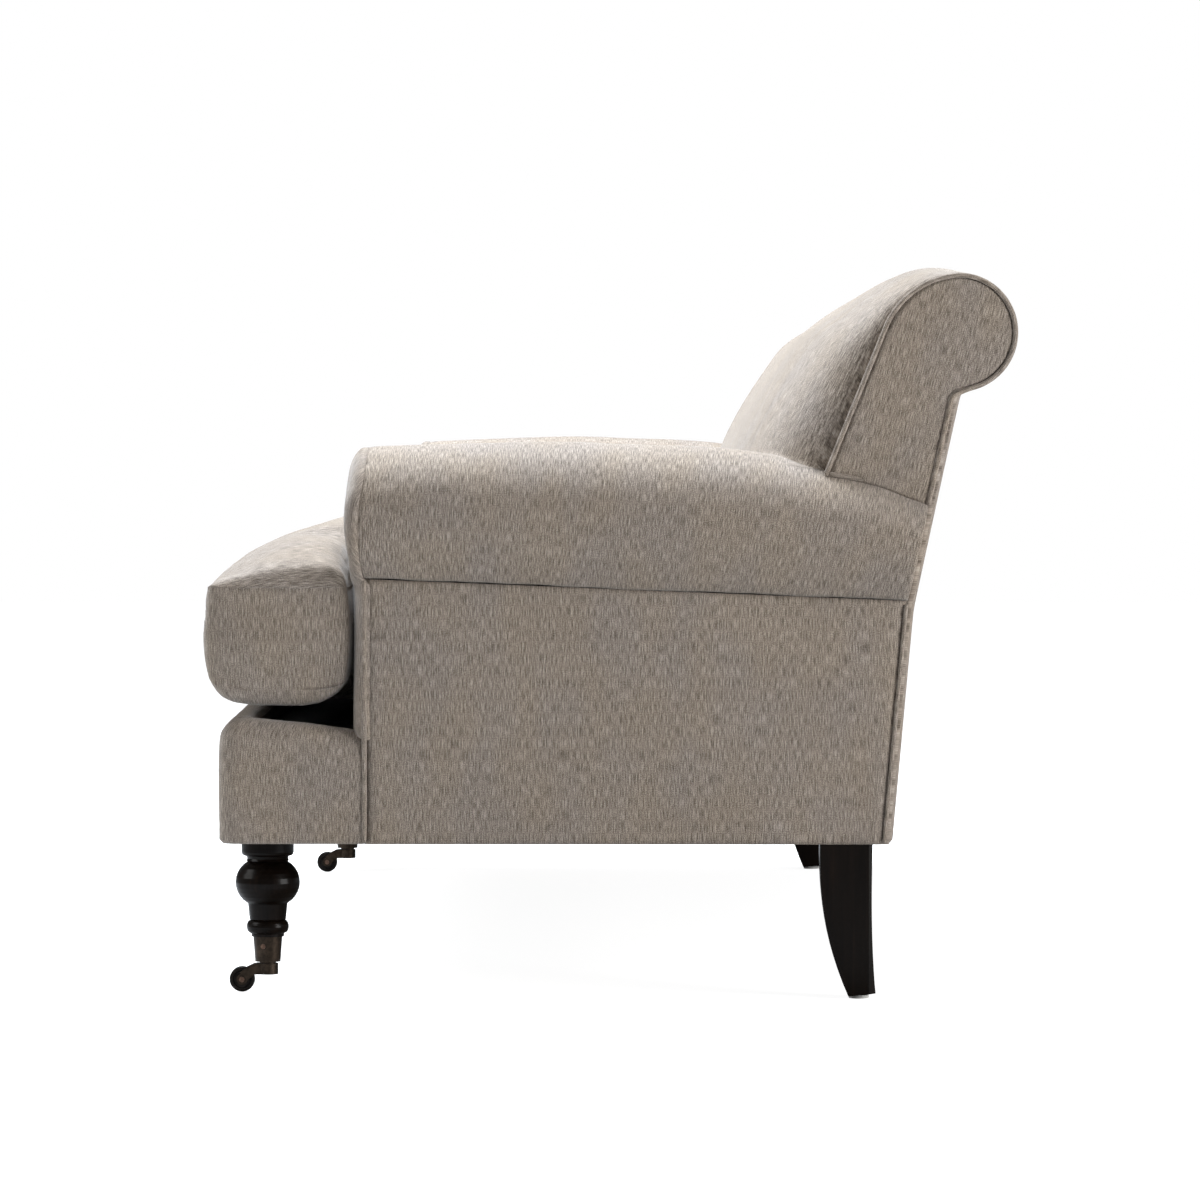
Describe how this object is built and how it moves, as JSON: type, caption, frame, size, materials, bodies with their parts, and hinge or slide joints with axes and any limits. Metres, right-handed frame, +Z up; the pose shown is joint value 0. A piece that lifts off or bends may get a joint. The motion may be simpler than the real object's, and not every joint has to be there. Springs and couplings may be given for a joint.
{
  "type": "lawson sofa",
  "caption": "Low-armed upholstered sofa with rolled arms set back, scrolled tight back, loose T-shaped seat cushions, turned front legs on casters and sabre rear legs.",
  "frame": {"origin": "centre of the bounding box's base, on the floor", "axes": "+X to the sitter's left, +Y towards the back, +Z up; the seat faces -Y"},
  "size_m": [2.13, 0.978, 0.8787],
  "materials": {
    "upholstery": "taupe grey slubby weave with fine upright streaks",
    "frame_timber": "sawn hardwood",
    "spring_steel": "drawn wire and zinc plate",
    "black_cloth": "black deck and dust cloth",
    "ebonised_wood": "near-black espresso lacquer, semi-gloss",
    "antique_bronze": "dark antique bronze",
    "caster_tread": "dark bronzed wheel",
    "copper_pins": "copper-coloured screw and axle heads",
    "glide_plastic": "pale glide"
  },
  "bodies": {
    "frame": {"front_border": "upholstery", "arm_pad_left": "upholstery", "arm_pad_right": "upholstery", "arm_facing_left": "upholstery", "arm_facing_right": "upholstery", "outer_panel_left": "upholstery", "outer_panel_right": "upholstery", "inside_back": "upholstery", "outside_back": "upholstery", "back_facing_left": "upholstery", "back_facing_right": "upholstery", "front_rail": "frame_timber", "back_rail": "frame_timber", "side_rail_left": "frame_timber", "side_rail_right": "frame_timber", "cross_rails": "frame_timber", "corner_blocks": "frame_timber", "arm_post_left": "frame_timber", "arm_post_right": "frame_timber", "arm_board_left": "frame_timber", "arm_board_right": "frame_timber", "back_post_left": "frame_timber", "back_post_centre": "frame_timber", "back_post_right": "frame_timber", "scroll_rail": "frame_timber", "back_slats": "frame_timber", "seat_springs": "spring_steel", "spring_clips": "spring_steel", "leg_bolts": "spring_steel", "deck_cloth": "black_cloth", "dust_cover": "black_cloth", "front_leg_left": "ebonised_wood", "front_leg_right": "ebonised_wood", "rear_leg_left": "ebonised_wood", "rear_leg_right": "ebonised_wood", "caster_cup_left": "antique_bronze", "caster_cup_right": "antique_bronze", "caster_screws": "copper_pins", "rear_glide_left": "glide_plastic", "rear_glide_right": "glide_plastic"},
    "swivel_left": {"caster_horn_left": "antique_bronze", "caster_axle_left": "copper_pins"},
    "wheel_left": {"caster_wheel_left": "caster_tread"},
    "swivel_right": {"caster_horn_right": "antique_bronze", "caster_axle_right": "copper_pins"},
    "wheel_right": {"caster_wheel_right": "caster_tread"},
    "cushion_left": {"seat_cushion_left": "upholstery"},
    "cushion_centre": {"seat_cushion_centre": "upholstery"},
    "cushion_right": {"seat_cushion_right": "upholstery"}
  },
  "joints": [
    {"name": "swivel_turn_left", "type": "hinge", "parent": "frame", "child": "swivel_left", "pos_m": [0.93, -0.4165, 0.03], "axis": [0, 0, 1], "continuous": true},
    {"name": "wheel_spin_left", "type": "hinge", "parent": "swivel_left", "child": "wheel_left", "pos_m": [0.93, -0.4475, 0.0153], "axis": [1, 0, 0], "continuous": true},
    {"name": "swivel_turn_right", "type": "hinge", "parent": "frame", "child": "swivel_right", "pos_m": [-0.93, -0.4165, 0.03], "axis": [0, 0, 1], "continuous": true},
    {"name": "wheel_spin_right", "type": "hinge", "parent": "swivel_right", "child": "wheel_right", "pos_m": [-0.93, -0.4475, 0.0153], "axis": [1, 0, 0], "continuous": true},
    {"name": "cushion_lift_left", "type": "slide", "parent": "frame", "child": "cushion_left", "axis": [0, 0, 1], "range_m": [0, 0.4]},
    {"name": "cushion_lift_centre", "type": "slide", "parent": "frame", "child": "cushion_centre", "axis": [0, 0, 1], "range_m": [0, 0.4]},
    {"name": "cushion_lift_right", "type": "slide", "parent": "frame", "child": "cushion_right", "axis": [0, 0, 1], "range_m": [0, 0.4]}
  ]
}
